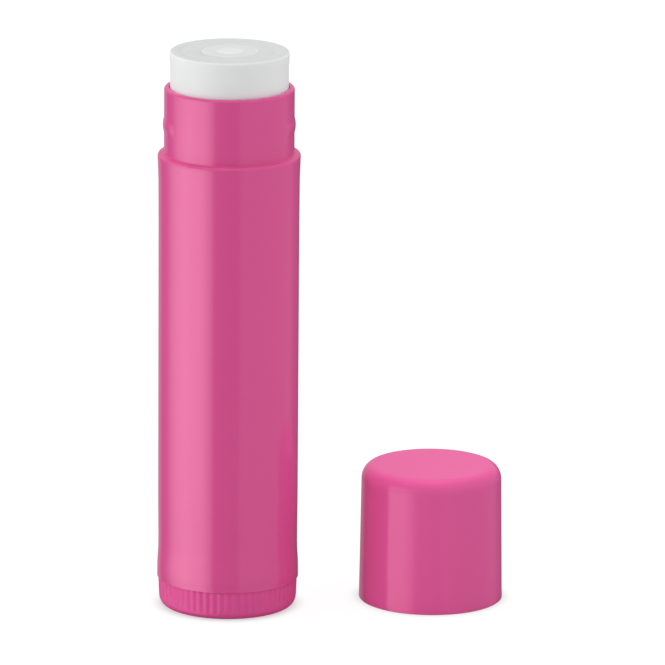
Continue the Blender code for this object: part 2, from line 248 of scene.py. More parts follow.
# %% Sizes of the tube
shoulder_lip = 0.12 * mm
barrel_wall = 1.1 * mm
neck_wall = 0.5 * mm
barrel_radius = lip_radius - shoulder_lip
bore_radius = barrel_radius - barrel_wall
neck_radius = bore_radius + neck_wall
neck_height = 7.75 * mm
shoulder_height = rim_height - neck_height
foot_flare = 0.08 * mm
foot_radius = barrel_radius + foot_flare
foot_flat = 1.0 * mm
foot_round = 0.05 * mm
waist_depth = 0.045 * mm
waist_radius = barrel_radius - waist_depth
waist_rise = 4.1 * mm
draft_depth = 0.01 * mm
draft_radius = barrel_radius - draft_depth
draft_rise = 10.7 * mm
swell_end = 8.0 * mm
low_swell = 0.03 * mm
low_swell_drop = 2.8 * mm
high_swell = 0.104 * mm
high_swell_drop = 0.9 * mm
lip_drop = 0.55 * mm
lip_round = 0.32 * mm
shoulder_fillet = 0.1 * mm
rim_drop = 0.1 * mm
rim_top = rim_height - rim_drop
rim_round = 0.3 * mm
rim_inner_round = 0.08 * mm
rim_lip = 0.1 * mm
rim_lip_height = 1.0 * mm
ease_steps = 5

# %% Sizes of the beads, the groove and the keys
bead_rise = 3.3 * mm
bead_height = 1.7 * mm
bead_proud = 0.13 * mm
bead_half_degrees = 31
bead_fade_columns = 4
bead_steps = 10
bead_middle = shoulder_height + bead_rise
groove_depth = 0.55 * mm
groove_rise = 1.9 * mm
groove_radius = bore_radius + groove_depth
groove_middle = barrel_foot + groove_rise
groove_flat = 0.9 * mm
groove_height = 1.7 * mm
key_depth = 0.4 * mm
key_rise = 4.9 * mm
key_drop = 10.75 * mm
key_radius = bore_radius - key_depth
key_low = barrel_foot + key_rise
key_high = rim_height - key_drop
key_columns = 4
column_degrees = 360 / fine_columns

# %% Draw the tube's outline from its foot, over the rim and down the bore
foot_top = (foot_radius, barrel_foot + foot_flat)
waist = (waist_radius, barrel_foot + waist_rise)
draft_start = (draft_radius, barrel_foot + draft_rise)
swell_start = (barrel_radius, shoulder_height - swell_end)
swell_low = (barrel_radius + low_swell, shoulder_height - low_swell_drop)
swell_high = (barrel_radius + high_swell, shoulder_height - high_swell_drop)
lip_low = (lip_radius, shoulder_height - lip_drop)

tube_outline = [(bore_radius, barrel_foot), (foot_radius, barrel_foot), foot_top]
tube_outline += ease(foot_top, waist, ease_steps)
tube_outline += ease(waist, draft_start, ease_steps)
tube_outline += ease(draft_start, swell_start, ease_steps)
tube_outline += [swell_low, swell_high, lip_low, (lip_radius, shoulder_height)]
tube_outline += [(neck_radius, shoulder_height)]
for index in range(bead_steps + 1):
    tube_outline.append((neck_radius, bead_middle + bead_height * (index / bead_steps - 0.5)))
tube_outline += [
    (neck_radius, rim_top),
    (bore_radius - rim_lip, rim_top),
    (bore_radius - rim_lip, rim_top - rim_lip_height),
    (bore_radius, rim_top - 2 * rim_lip_height),
    (bore_radius, key_high),
    (bore_radius, key_low),
    (bore_radius, groove_middle + groove_height / 2),
    (groove_radius, groove_middle + groove_flat / 2),
    (groove_radius, groove_middle - groove_flat / 2),
    (bore_radius, groove_middle - groove_height / 2),
]
tube = turn("tube", tube_outline)
join_ends()
print("the tube's outline has", len(tube_outline), "stations")

# %% [markdown]
# Two short beads on the neck click into a groove in the cap. They are shallow swells, highest
# at the middle and faded at both ends. Each ring of the neck is pushed out a little less the
# further it lies from the bead's middle, in a few passes that each reach less far round.

# %% Swell the two snap beads
bead_bend = ((bead_height / 2) ** 2 + bead_proud ** 2) / (2 * bead_proud)


def from_side(angle):
    """Degrees from the nearer side of the stick, +X or -X."""
    turned_off = abs(angle)
    return min(turned_off, 180 - turned_off)


for index in range(1, bead_steps):
    rise = bead_height * (index / bead_steps - 0.5)
    swell = math.sqrt(bead_bend ** 2 - rise ** 2) - (bead_bend - bead_proud)
    for fade in range(bead_fade_columns):
        reach = bead_half_degrees - fade * column_degrees
        pick('VERT', lambda r, a, z: r > bore_radius + near and from_side(a) < reach
             and abs(z - bead_middle - rise) < near)
        share = 1 + swell / bead_fade_columns / neck_radius
        bpy.ops.transform.resize(value=(share, share, 1), center_override=axis)
print("beads stand", round(bead_proud / mm, 2), "mm proud of the neck")

# %% [markdown]
# Inside, two keys run down the bore, and they stop the cup from turning with the screw. They
# are patches of the bore's wall, pushed inwards.

# %% Push in the two keys
key_half_degrees = key_columns * column_degrees / 2
key_faces = pick('FACE', lambda r, a, z: r < bore_radius + near and key_low < z < key_high
                 and from_side(a) < key_half_degrees)
bpy.ops.mesh.extrude_region_move()
key_share = key_radius / bore_radius
bpy.ops.transform.resize(value=(key_share, key_share, 1), center_override=axis)
print("the keys are made of", key_faces, "faces of the bore")

# %% Round the tube's edges
round_ring(foot_radius, barrel_foot, foot_round)
round_ring(bore_radius, barrel_foot, foot_round)
round_ring(lip_radius, shoulder_height, lip_round, segments=5)
round_ring(neck_radius, shoulder_height, shoulder_fillet)
round_ring(neck_radius, rim_top, rim_round, segments=6)
round_ring(bore_radius - rim_lip, rim_top, rim_inner_round)
bpy.ops.object.mode_set(mode='OBJECT')
finish_piece(tube, "barrel", "pink_plastic", "barrel")

# %% [markdown]
# The wheel at the foot is what the thumb turns. Its ribs are soft waves, as a mould that was
# cut with a ball-ended tool leaves them, so each rib gets six columns and the columns between
# two ribs are drawn in along a cosine. The ribs fade out on the rounded lower edge.

# %% Sizes of the wheel, its plug and its screw
parting_gap = 0.02 * mm
wheel_top = barrel_foot - parting_gap
wheel_taper = 0.08 * mm
wheel_round_wide = 0.85 * mm
wheel_round_tall = 1.2 * mm
wheel_top_round = 0.06 * mm
wheel_floor = 1.3 * mm
rib_count = 60
rib_columns = 6
rib_depth = 0.12 * mm
rib_fade_shares = (0.0, 0.35, 0.75, 1.0)
wheel_columns = rib_count * rib_columns
wall_radius = wheel_radius - wheel_taper
plug_gap = 0.25 * mm
plug_wall = 0.9 * mm
plug_rise = 3.9 * mm
plug_radius = bore_radius - plug_gap
plug_bore_radius = plug_radius - plug_wall
plug_top = barrel_foot + plug_rise
plug_round = 0.2 * mm
ring_proud = 0.55 * mm
ring_radius = plug_radius + ring_proud
ring_flat = 0.4 * mm
ring_height = 1.2 * mm
gate_radius = 0.8 * mm
gate_depth = 0.12 * mm

# %% Draw the wheel from the gate mark under it to its inner floor
wheel_outline = [(pole_radius, gate_depth), (gate_radius, gate_depth), (gate_radius, 0.0)]
foot_arc = arc(wall_radius - wheel_round_wide, wheel_round_tall, wheel_round_wide, wheel_round_tall,
               -90, 0, steps=10)
wheel_outline += foot_arc
wheel_outline += [
    (wheel_radius, wheel_top),
    (plug_radius, wheel_top),
    (plug_radius, groove_middle - ring_height / 2),
    (ring_radius, groove_middle - ring_flat / 2),
    (ring_radius, groove_middle + ring_flat / 2),
    (plug_radius, groove_middle + ring_height / 2),
    (plug_radius, plug_top),
    (plug_bore_radius, plug_top),
    (plug_bore_radius, wheel_floor),
    (pole_radius, wheel_floor),
]
wheel = turn("twist_wheel", wheel_outline, wheel_columns)
close_poles(wheel_columns)


# %% Press the valleys in between the ribs
def valley_share(angle):
    """How far a column lies towards the bottom of its valley, from 0 on a rib to 1."""
    return (1 - math.cos(math.radians(angle * rib_count))) / 2


level_margin = 0.01
valley_levels = sorted({round(valley_share(360 * column / wheel_columns), 3)
                        for column in range(rib_columns)})
rib_ends = foot_arc[-len(rib_fade_shares):]
for level in valley_levels[1:]:
    for (radius, height), fade in zip(rib_ends[1:], rib_fade_shares[1:]):
        low = height - near
        high = height + near if fade < 1.0 else wheel_top + near
        pick('VERT', lambda r, a, z: r > ring_radius + near and low < z < high
             and abs(valley_share(a) - level) < level_margin)
        share = 1 - rib_depth * level * fade / wheel_radius
        bpy.ops.transform.resize(value=(share, share, 1), center_override=axis)
print(rib_count, "ribs, with valleys", round(rib_depth / mm, 2), "mm deep")

# %% Round the wheel's edges
pick('EDGE', lambda r, a, z: r > ring_radius + near and abs(z - wheel_top) < near)
bpy.ops.mesh.bevel(offset=wheel_top_round, segments=3, profile=0.5, affect='EDGES')
round_ring(plug_radius, plug_top, plug_round)
round_ring(plug_bore_radius, plug_top, plug_round)
bpy.ops.object.mode_set(mode='OBJECT')

# %% [markdown]
# The screw stands on the wheel's floor and is moulded in one with it. Its thread is a round
# bar that winds up the core. The Screw modifier winds it from one upright circle, and Boolean
# unions then make wheel, core and thread the one solid that comes out of the mould.

# %% Sizes of the screw
core_radius = 1.55 * mm
core_fillet = 0.8 * mm
core_tip_radius = 0.9 * mm
core_tip_length = 1.0 * mm
core_columns = 48
sink = 0.2 * mm
lead = 4.0 * mm
thread_radius = 1.75 * mm
bar_radius = 0.5 * mm
bar_sides = 12
thread_rise = 1.8 * mm
thread_drop = 1.3 * mm
thread_low = plug_top + thread_rise
thread_high = screw_tip - thread_drop
steps_per_turn = 32
thread_turns = (thread_high - thread_low) / lead

# %% Draw the screw's core
core_outline = [(core_radius + core_fillet, wheel_floor - sink)]
core_outline += arc(core_radius + core_fillet, wheel_floor + core_fillet, core_fillet, core_fillet,
                    -90, -180, steps=6)
core_outline += [(core_radius, screw_tip - core_tip_length), (core_tip_radius, screw_tip),
                 (pole_radius, screw_tip)]
core = turn("screw_core", core_outline, core_columns)
close_poles(core_columns)
bpy.ops.object.mode_set(mode='OBJECT')

# %% Wind the thread up the core
start_angle = -math.tau * thread_low / lead
bpy.ops.object.select_all(action='DESELECT')
bpy.ops.mesh.primitive_circle_add(vertices=bar_sides, radius=bar_radius, rotation=(math.pi / 2, 0, 0),
                                  location=(thread_radius, 0, thread_low))
thread = bpy.context.object
thread.name = "thread"
bpy.ops.object.transform_apply(location=True, rotation=True, scale=True)
winding = thread.modifiers.new("Wind", 'SCREW')
winding.axis = 'Z'
winding.angle = -math.tau * thread_turns
winding.screw_offset = thread_high - thread_low
winding.steps = math.ceil(thread_turns * steps_per_turn)
winding.render_steps = winding.steps
winding.use_merge_vertices = False
apply_all(thread)
bpy.ops.object.mode_set(mode='EDIT')
bpy.ops.mesh.select_mode(type='EDGE')
bpy.ops.mesh.select_all(action='DESELECT')
bpy.ops.mesh.select_non_manifold()
bpy.ops.mesh.fill_holes(sides=bar_sides)
face_outwards()
bpy.ops.object.mode_set(mode='OBJECT')
thread.rotation_euler.z = start_angle
bpy.ops.object.transform_apply(location=True, rotation=True, scale=True)
print("the thread makes", round(thread_turns, 2), "turns")


# %% Join the wheel, core and thread into one moulding
def combine(piece, tool, operation):
    """Join a tool to a piece or cut it out, and remove the tool."""
    boolean = piece.modifiers.new(tool.name, 'BOOLEAN')
    boolean.solver = 'EXACT'
    boolean.operation = operation
    boolean.object = tool
    apply_all(piece)
    bpy.data.objects.remove(tool)


combine(core, thread, 'UNION')
combine(wheel, core, 'UNION')
finish_piece(wheel, "base_wheel", "pink_plastic", "base_wheel")

# %% [markdown]
# The balm was poured hot into the tube, round the screw and over the cup's webs. Its top took
# the shape of the pouring lid: a fine outer line and two faint rings, with a shallow dish
# between them. They are real steps of a few hundredths of a millimetre, not paint. In a ring's
# section each point is a share of the ring's width from its middle, and a drop below the top.

# %% Sizes of the balm
balm_lip = 0.06 * mm
balm_radius = balm_lip_radius - balm_lip
balm_lip_height = 1.6 * mm
balm_round = 0.25 * mm
balm_set_down = 0.55 * mm
balm_raise = balm_top - (rim_height - balm_set_down)
cup_gap = 0.25 * mm
cup_wall = 0.75 * mm
cup_radius = bore_radius - cup_gap
cup_bore_radius = cup_radius - cup_wall
shank_gap = 0.25 * mm
shank_radius = cup_bore_radius - shank_gap
seat_gap = 0.3 * mm
cup_floor_rise = 7.0 * mm
cup_floor_top = cup_rest + cup_floor_rise
hub_rise = 4.0 * mm
hub_radius = 3.32 * mm
screw_bore = thread_radius + bar_radius + seat_gap
bore_top = screw_tip + seat_gap + balm_raise
cup_top = cup_high.z + seat_gap
ring_radii = (5.35 * mm, 3.1 * mm, 1.5 * mm)
ring_width = 0.22 * mm
ring_sink = 0.035 * mm
dish_sink = 0.02 * mm
ring_section = ((0.5, 0.0), (0.2, ring_sink), (-0.2, ring_sink), (-0.5, dish_sink))

# %% Draw the balm from the top of its screw bore, round the outside to its top
hub_space = hub_radius + seat_gap
hub_top = cup_floor_top + hub_rise + seat_gap
balm_outline = [
    (pole_radius, bore_top + screw_bore / 2),
    (screw_bore, bore_top),
    (screw_bore, hub_top),
    (hub_space, hub_top),
    (hub_space, cup_floor_top + seat_gap),
    (shank_radius, cup_floor_top + seat_gap),
    (shank_radius, cup_top),
    (balm_radius, cup_top),
    (balm_radius, balm_top - balm_lip_height),
    (balm_lip_radius, balm_top - balm_lip_height / 2),
]
balm_outline += arc(balm_lip_radius - balm_round, balm_top - balm_round, balm_round, balm_round,
                    0, 90, steps=6)
level = balm_top
for radius in ring_radii:
    for step, drop in ring_section:
        balm_outline.append((radius + step * ring_width, level - drop))
    level -= dish_sink
balm_outline.append((pole_radius, level))
stick = turn("balm_stick", balm_outline)
close_poles()
bpy.ops.object.mode_set(mode='OBJECT')

# %% [markdown]
# The barrel's keys and the cup's webs leave slots in the balm. A plain block for each slot is
# set in its place and cut out, one after the other.

# %% Cut the slots for the keys and the webs
key_slot_width = 1.4 * mm
key_slot_radius = 6.25 * mm
key_slot_top = key_high + balm_raise + seat_gap
web_slot_width = 1.3 * mm
web_rise = 3.0 * mm
web_top = cup_floor_top + web_rise + seat_gap
overrun = 1.0 * mm


def slot_block(name, inner, outer, width, low, high, degrees):
    """A block that stands off the axis to one side, turned round it."""
    bpy.ops.object.select_all(action='DESELECT')
    place = ((inner + outer) / 2, 0, (low + high) / 2)
    bpy.ops.mesh.primitive_cube_add(size=1, location=place)
    block = bpy.context.object
    block.name = name
    block.scale = (outer - inner, width, high - low)
    bpy.ops.object.transform_apply(location=True, rotation=True, scale=True)
    block.rotation_euler.z = math.radians(degrees)
    bpy.ops.object.transform_apply(location=True, rotation=True, scale=True)
    return block


for degrees in (0, 180):
    block = slot_block("key_slot", key_slot_radius, bore_radius + overrun, key_slot_width,
                       cup_floor_top - overrun, key_slot_top, degrees)
    combine(stick, block, 'DIFFERENCE')
for degrees in (45, 135, 225, 315):
    block = slot_block("web_slot", hub_radius, cup_bore_radius + sink, web_slot_width,
                       cup_floor_top - overrun, web_top, degrees)
    combine(stick, block, 'DIFFERENCE')
finish_piece(stick, "elevator", "balm_wax", "balm")

# %% [markdown]
# The cap is a plain cup with a soft elliptical edge round its flat top. Inside is the groove
# for the beads, and on the ceiling is the small mark where the plastic flowed in.

# %% Sizes of the cap
cap_gap = 0.1 * mm
cap_bore_radius = neck_radius + cap_gap
cap_flare = 0.03 * mm
cap_flare_height = 0.8 * mm
cap_side_radius = cap_mouth_radius - cap_flare
cap_draft = 0.19 * mm
cap_top_radius = cap_side_radius - cap_draft
edge_wide = 1.35 * mm
edge_tall = 1.7 * mm
cap_mouth_round = 0.15 * mm
cap_top_wall = 1.0 * mm
cap_inner_draft = 0.15 * mm
cap_ceiling = cap_height - cap_top_wall
cap_ceiling_radius = cap_bore_radius - cap_inner_draft
cap_inner_round = 0.8 * mm
bead_gap = 0.08 * mm
cap_groove_radius = neck_radius + bead_proud + bead_gap
cap_gate_radius = 1.1 * mm
cap_gate_drop = 0.15 * mm

# %% Draw the cap from the middle of its top to the middle of its ceiling
cap_outline = [(pole_radius, cap_height)]
cap_outline += arc(cap_top_radius - edge_wide, cap_height - edge_tall, edge_wide, edge_tall,
                   90, 0, steps=14)
cap_outline += [
    (cap_side_radius, cap_flare_height),
    (cap_mouth_radius, 0.0),
    (cap_bore_radius, 0.0),
    (cap_bore_radius, bead_rise - bead_height / 2),
    (cap_groove_radius, bead_rise - bead_height / 4),
    (cap_groove_radius, bead_rise + bead_height / 4),
    (cap_bore_radius, bead_rise + bead_height / 2),
]
cap_outline += arc(cap_ceiling_radius - cap_inner_round, cap_ceiling - cap_inner_round,
                   cap_inner_round, cap_inner_round, 0, 90, steps=6)
cap_outline += [
    (cap_gate_radius, cap_ceiling),
    (cap_gate_radius, cap_ceiling - cap_gate_drop),
    (pole_radius, cap_ceiling - cap_gate_drop),
]
cap = turn("cap_shell", cap_outline)
close_poles()
round_ring(cap_mouth_radius, 0.0, cap_mouth_round)
round_ring(cap_bore_radius, 0.0, cap_mouth_round)

# %% Set the cap down beside the stick
bpy.ops.mesh.select_all(action='SELECT')
bpy.ops.transform.translate(value=(cap_centre.x, cap_centre.y, 0))
bpy.ops.object.mode_set(mode='OBJECT')
finish_piece(cap, "cap", "pink_plastic", "cap")

# %% [markdown]
# Every finish here shares a few effects. Each is a node group that is built once: slow
# mottling from the flow of the melt, the fine skin that a mould leaves, and wear where hands
# and the cap rub. A group gives only masks and heights, and the material decides their use.


# %% Helpers that build node trees
def new_group(name, inputs, outputs):
    """A shader node group with named number sockets and a Place vector."""
    group = bpy.data.node_groups.new(name, 'ShaderNodeTree')
    group.interface.new_socket("Place", in_out='INPUT', socket_type='NodeSocketVector')
    for label, value in inputs:
        socket = group.interface.new_socket(label, in_out='INPUT', socket_type='NodeSocketFloat')
        socket.default_value = value
    for label in outputs:
        group.interface.new_socket(label, in_out='OUTPUT', socket_type='NodeSocketFloat')
    start = group.nodes.new('NodeGroupInput')
    end = group.nodes.new('NodeGroupOutput')
    return group, start, end


def put(tree, kind, links=None, **settings):
    """Add a node, set its properties, and link or set its inputs."""
    node = tree.nodes.new(kind)
    for key, value in settings.items():
        setattr(node, key, value)
    for key, source in (links or {}).items():
        if isinstance(source, bpy.types.NodeSocket):
            tree.links.new(source, node.inputs[key])
        else:
            node.inputs[key].default_value = source
    return node


def maths(tree, operation, first, second=0.0, third=0.0):
    """The result of one sum on numbers or sockets."""
    return put(tree, 'ShaderNodeMath', {0: first, 1: second, 2: third}, operation=operation).outputs[0]


def smooth_step(tree, value, start, end, low=0.0, high=1.0):
    """A smooth change from low to high, as a value goes from start to end."""
    links = {"Value": value, "From Min": start, "From Max": end, "To Min": low, "To Max": high}
    return put(tree, 'ShaderNodeMapRange', links, interpolation_type='SMOOTHSTEP').outputs["Result"]


# %% Node group for the mottling of the melt
flow, start, end = new_group("flow_mottle", [("Scale", 300.0), ("Draw", 0.25)], ["Mottle"])
stretch = put(flow, 'ShaderNodeCombineXYZ', {0: 1.0, 1: 1.0, 2: start.outputs["Draw"]})
drawn = put(flow, 'ShaderNodeVectorMath', {0: start.outputs["Place"], 1: stretch.outputs[0]},
            operation='MULTIPLY')
cloud = put(flow, 'ShaderNodeTexNoise', {"Vector": drawn.outputs[0], "Scale": start.outputs["Scale"],
                                         "Detail": 2.0, "Roughness": 0.5, "Distortion": 0.2})
flow.links.new(cloud.outputs["Fac"], end.inputs["Mottle"])
print("group", flow.name, "gives", [socket.name for socket in end.inputs if socket.name])

# %% Node group for the skin that a mould leaves
skin, start, end = new_group("moulded_skin", [("Peel Scale", 700.0), ("Grain Scale", 5000.0),
                                              ("Grain Share", 0.2)], ["Height", "Grain"])
peel = put(skin, 'ShaderNodeTexNoise', {"Vector": start.outputs["Place"],
                                        "Scale": start.outputs["Peel Scale"], "Detail": 1.0})
grain = put(skin, 'ShaderNodeTexNoise', {"Vector": start.outputs["Place"],
                                         "Scale": start.outputs["Grain Scale"], "Detail": 2.0})
fine = maths(skin, 'MULTIPLY', grain.outputs["Fac"], start.outputs["Grain Share"])
skin.links.new(maths(skin, 'ADD', peel.outputs["Fac"], fine), end.inputs["Height"])
skin.links.new(grain.outputs["Fac"], end.inputs["Grain"])

# %% Node group for wear along a ring at some height
patch_span = (0.45, 0.7)
wear, start, end = new_group("ring_wear", [("Height", 0.0), ("Reach", 0.4 * mm), ("Patch Scale", 900.0)],
                             ["Wear"])
parts = put(wear, 'ShaderNodeSeparateXYZ', {0: start.outputs["Place"]})
off = maths(wear, 'ABSOLUTE', maths(wear, 'SUBTRACT', parts.outputs[2], start.outputs["Height"]))
close = smooth_step(wear, off, start.outputs["Reach"], 0.0)
patch = put(wear, 'ShaderNodeTexNoise', {"Vector": start.outputs["Place"],
                                         "Scale": start.outputs["Patch Scale"], "Detail": 3.0})
patchy = smooth_step(wear, patch.outputs["Fac"], *patch_span)
wear.links.new(maths(wear, 'MULTIPLY', close, patchy), end.inputs["Wear"])

# %% [markdown]
# The pink plastic is coloured polypropylene. It is opaque and glossy, its colour wanders by a
# hair where the melt flowed, and where it is rubbed it turns paler and duller. The dye tints
# its shine as well, so the specular tint is a light pink. The wheel and the cap get their own
# copies of the pink with painted light in them: the wheel's is lighter, against the shade it
# gets near the floor, and the cap's is tuned to how the cap is lit.

# %% Pink plastic
pink = (0.71, 0.086, 0.291)
# The two copies below hold painted light: the wheel's pink is lighter against its shade near the floor,
# and the cap's is tuned to how the cap is lit.
wheel_pink_painted_light = (0.725, 0.090, 0.304)
cap_pink_painted_light_and_shade = (0.70, 0.096, 0.300)
rubbed_pink = (0.95, 0.62, 0.78, 1.0)
pink_shine = (1.0, 0.70, 0.77, 1.0)
pink_flow_light = 1.008
pink_flow_dark = 0.992
pink_rubbed_share = 0.03
pink_roughness = 0.17
rubbed_roughness = 0.24
roughness_wander = 0.02
wheel_roughness = 0.36
wheel_specular = 0.22
cap_specular = 0.25
cap_skin_share = 0.15
grain_span = (0.2, 0.8)
skin_depth = 0.0005 * mm
skin_strength = 0.5


def tinted(colour, share):
    """A dye made lighter or darker by a share, as a colour for a node."""
    return tuple(part * share for part in colour) + (1.0,)


def new_material(name):
    """An empty material with a Principled shader, and the place on the piece."""
    material = bpy.data.materials.new(name)
    material.use_nodes = True
    tree = material.node_tree
    shader = tree.nodes["Principled BSDF"]
    place = tree.nodes.new('ShaderNodeTexCoord').outputs["Object"]
    return material, tree, shader, place


def use(tree, group, place, **values):
    """Place a group in a material with its own values, whose names have _ for a space."""
    node = tree.nodes.new('ShaderNodeGroup')
    node.node_tree = group
    tree.links.new(place, node.inputs["Place"])
    for key, value in values.items():
        node.inputs[key.replace("_", " ")].default_value = value
    return node


def mix_colours(tree, share, first, second):
    """A colour between two colours."""
    node = put(tree, 'ShaderNodeMix', {0: share}, data_type='RGBA')
    for socket, source in ((node.inputs[6], first), (node.inputs[7], second)):
        if isinstance(source, bpy.types.NodeSocket):
            tree.links.new(source, socket)
        else:
            socket.default_value = source
    return node.outputs[2]


def raise_surface(tree, shader, height, depth, strength):
    """Let a pattern of heights tilt the shading, without moving the mesh."""
    bump = put(tree, 'ShaderNodeBump', {"Height": height, "Distance": depth, "Strength": strength})
    tree.links.new(bump.outputs["Normal"], shader.inputs["Normal"])


def pink_plastic(name, dye_and_painted_light, worn_heights, roughness=pink_roughness, specular=0.5, skin_share=1.0):
    """The dyed plastic, worn a little along rings at the given heights. For the wheel and the cap, the
    colour given also holds painted light.
    """
    material, tree, shader, place = new_material(name)
    mottle = use(tree, flow, place, Scale=260.0, Draw=0.3).outputs["Mottle"]
    surface = use(tree, skin, place, Peel_Scale=650.0, Grain_Scale=6000.0, Grain_Share=0.12)
    rubbed = 0.0
    for height in worn_heights:
        ring = use(tree, wear, place, Height=height).outputs["Wear"]
        rubbed = maths(tree, 'MAXIMUM', ring, rubbed)
    body = mix_colours(tree, mottle, tinted(dye_and_painted_light, pink_flow_dark), tinted(dye_and_painted_light, pink_flow_light))
    pale = maths(tree, 'MULTIPLY', rubbed, pink_rubbed_share)
    colour = mix_colours(tree, pale, body, rubbed_pink)
    tree.links.new(colour, shader.inputs["Base Color"])
    dull = smooth_step(tree, surface.outputs["Grain"], *grain_span,
                       roughness - roughness_wander, roughness + roughness_wander)
    rough = maths(tree, 'MULTIPLY_ADD', rubbed, rubbed_roughness - roughness, dull)
    tree.links.new(rough, shader.inputs["Roughness"])
    raise_surface(tree, shader, surface.outputs["Height"], skin_depth * skin_share, skin_strength)
    shader.inputs["Specular IOR Level"].default_value = specular
    shader.inputs["Specular Tint"].default_value = pink_shine
    return material


def dress(piece, material):
    """Give a piece this one material."""
    piece.data.materials.clear()
    piece.data.materials.append(material)


dress(tube, pink_plastic("pink_tube", pink, (rim_top, shoulder_height, barrel_foot)))
dress(wheel, pink_plastic("pink_wheel", wheel_pink_painted_light, (wheel_round_tall,), wheel_roughness, wheel_specular))
dress(cap, pink_plastic("pink_cap", cap_pink_painted_light_and_shade, (0.0,), specular=cap_specular, skin_share=cap_skin_share))
print("three mouldings wear the pink plastic")

# %% [markdown]
# The cup inside is the same plastic with no dye in it, milky and a little see-through. A low
# subsurface weight gives it that depth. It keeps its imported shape, since nothing shows of it.

# %% Milky plastic of the cup inside
milk_dark = (0.76, 0.76, 0.735, 1.0)
milk_light = (0.83, 0.83, 0.81, 1.0)
milk_roughness = (0.34, 0.44)
milk_strength = 0.6
milk_depth_share = 0.2
milk_depth = 1.0 * mm
milk_reach = (1.0, 1.0, 0.9)
milky, tree, shader, place = new_material("milky_plastic")
mottle = use(tree, flow, place, Scale=300.0, Draw=0.5).outputs["Mottle"]
surface = use(tree, skin, place, Peel_Scale=800.0, Grain_Scale=5000.0, Grain_Share=0.3)
milk = mix_colours(tree, mottle, milk_dark, milk_light)
tree.links.new(milk, shader.inputs["Base Color"])
rough = smooth_step(tree, surface.outputs["Grain"], *grain_span, *milk_roughness)
tree.links.new(rough, shader.inputs["Roughness"])
raise_surface(tree, shader, surface.outputs["Height"], skin_depth, milk_strength)
shader.inputs["Subsurface Weight"].default_value = milk_depth_share
shader.inputs["Subsurface Radius"].default_value = milk_reach
shader.inputs["Subsurface Scale"].default_value = milk_depth
dress(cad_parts["elevator_cup"], milky)

# %% [markdown]
# Balm is wax and oil. Light goes a little way in, which softens its edges, and its poured top
# sets duller than the side that slid along the tube. The top's colour is painted darker and
# greyer than the side's: painted shade against the stronger light from above. Faint clouds, tiny
# pits and upright drag lines keep it from looking like plastic.

# %% Wax of the balm
wax_side = (0.83, 0.845, 0.84)
# The top's colour below is painted darker than the side's, as painted shade against the light from above.
wax_top_painted_shade = (0.70, 0.705, 0.705)
side_cloud_shares = (0.985, 1.01)
top_cloud_shares = (0.96, 1.03)
poured_from = balm_top - balm_round / 4
poured_to = balm_top - balm_round / 12
pit_reach = 0.10
pit_share = -1.2
drag_share = 0.5
wax_roughness = (0.40, 0.50)
poured_dulling = 0.12
wax_relief = 0.012 * mm
wax_strength = 0.6
wax_depth_share = 0.25
wax_depth = 0.7 * mm
wax_reach = (1.0, 0.95, 0.9)
wax_specular = 0.12
wax, tree, shader, place = new_material("balm_wax_finish")
cloudy = use(tree, flow, place, Scale=420.0, Draw=0.8).outputs["Mottle"]
drag = use(tree, flow, place, Scale=1500.0, Draw=0.04).outputs["Mottle"]
surface = use(tree, skin, place, Peel_Scale=900.0, Grain_Scale=4200.0, Grain_Share=0.35)
pits = put(tree, 'ShaderNodeTexVoronoi', {"Vector": place, "Scale": 900.0, "Randomness": 1.0})
pit = smooth_step(tree, pits.outputs["Distance"], pit_reach, 0.0)
spot = put(tree, 'ShaderNodeSeparateXYZ', {0: place})
# This mask picks the top face: it makes the top duller, and it lays the painted shade on the top's
# colour.
dull_and_shaded_top = smooth_step(tree, spot.outputs[2], poured_from, poured_to)
side = mix_colours(tree, cloudy, *[tinted(wax_side, share) for share in side_cloud_shares])
top = mix_colours(tree, cloudy, *[tinted(wax_top_painted_shade, share) for share in top_cloud_shares])
tree.links.new(mix_colours(tree, dull_and_shaded_top, side, top), shader.inputs["Base Color"])
slid = smooth_step(tree, surface.outputs["Grain"], *grain_span, *wax_roughness)
rough = maths(tree, 'MULTIPLY_ADD', dull_and_shaded_top, poured_dulling, slid)
tree.links.new(rough, shader.inputs["Roughness"])
relief = maths(tree, 'MULTIPLY_ADD', drag, drag_share, surface.outputs["Height"])
relief = maths(tree, 'MULTIPLY_ADD', pit, pit_share, relief)
raise_surface(tree, shader, relief, wax_relief, wax_strength)
shader.inputs["Subsurface Weight"].default_value = wax_depth_share
shader.inputs["Subsurface Radius"].default_value = wax_reach
shader.inputs["Subsurface Scale"].default_value = wax_depth
shader.inputs["Specular IOR Level"].default_value = wax_specular
dress(stick, wax)

# %% [markdown]
# The picture was taken with a long lens from a little above. A long lens far away keeps the
# stick's sides parallel, and the slight roll of the camera is kept as well.

# %% Camera
camera_place = (2.1702 * mm, -983.646 * mm, 282.203 * mm)
camera_yaw = math.radians(0.56386)
camera_pitch = math.radians(14.27147)
camera_roll = math.radians(0.39358)
lens_length = 482.12
sensor_width = 36.0
nearest_seen = 0.01
farthest_seen = 20.0
look = (Matrix.Rotation(-camera_yaw, 4, 'Z') @ Matrix.Rotation(math.pi / 2 - camera_pitch, 4, 'X')
        @ Matrix.Rotation(camera_roll, 4, 'Z'))
bpy.ops.object.camera_add(location=camera_place, rotation=look.to_euler())
camera = bpy.context.object
camera.data.lens = lens_length
camera.data.sensor_width = sensor_width
camera.data.clip_start = nearest_seen
camera.data.clip_end = farthest_seen
bpy.context.scene.camera = camera

# %% [markdown]
# The floor is a wide white sheet. The camera sees it brighter than the stick does, which
# makes it pure white and leaves only the thin shadow round each foot. Two ambient occlusion
# nodes draw that shadow, one that looks to the back and one that looks up, so it is darkest in
# front of a foot. The floor is left out of the reflections, because the glossy walls look down
# on it and would mirror nothing else.

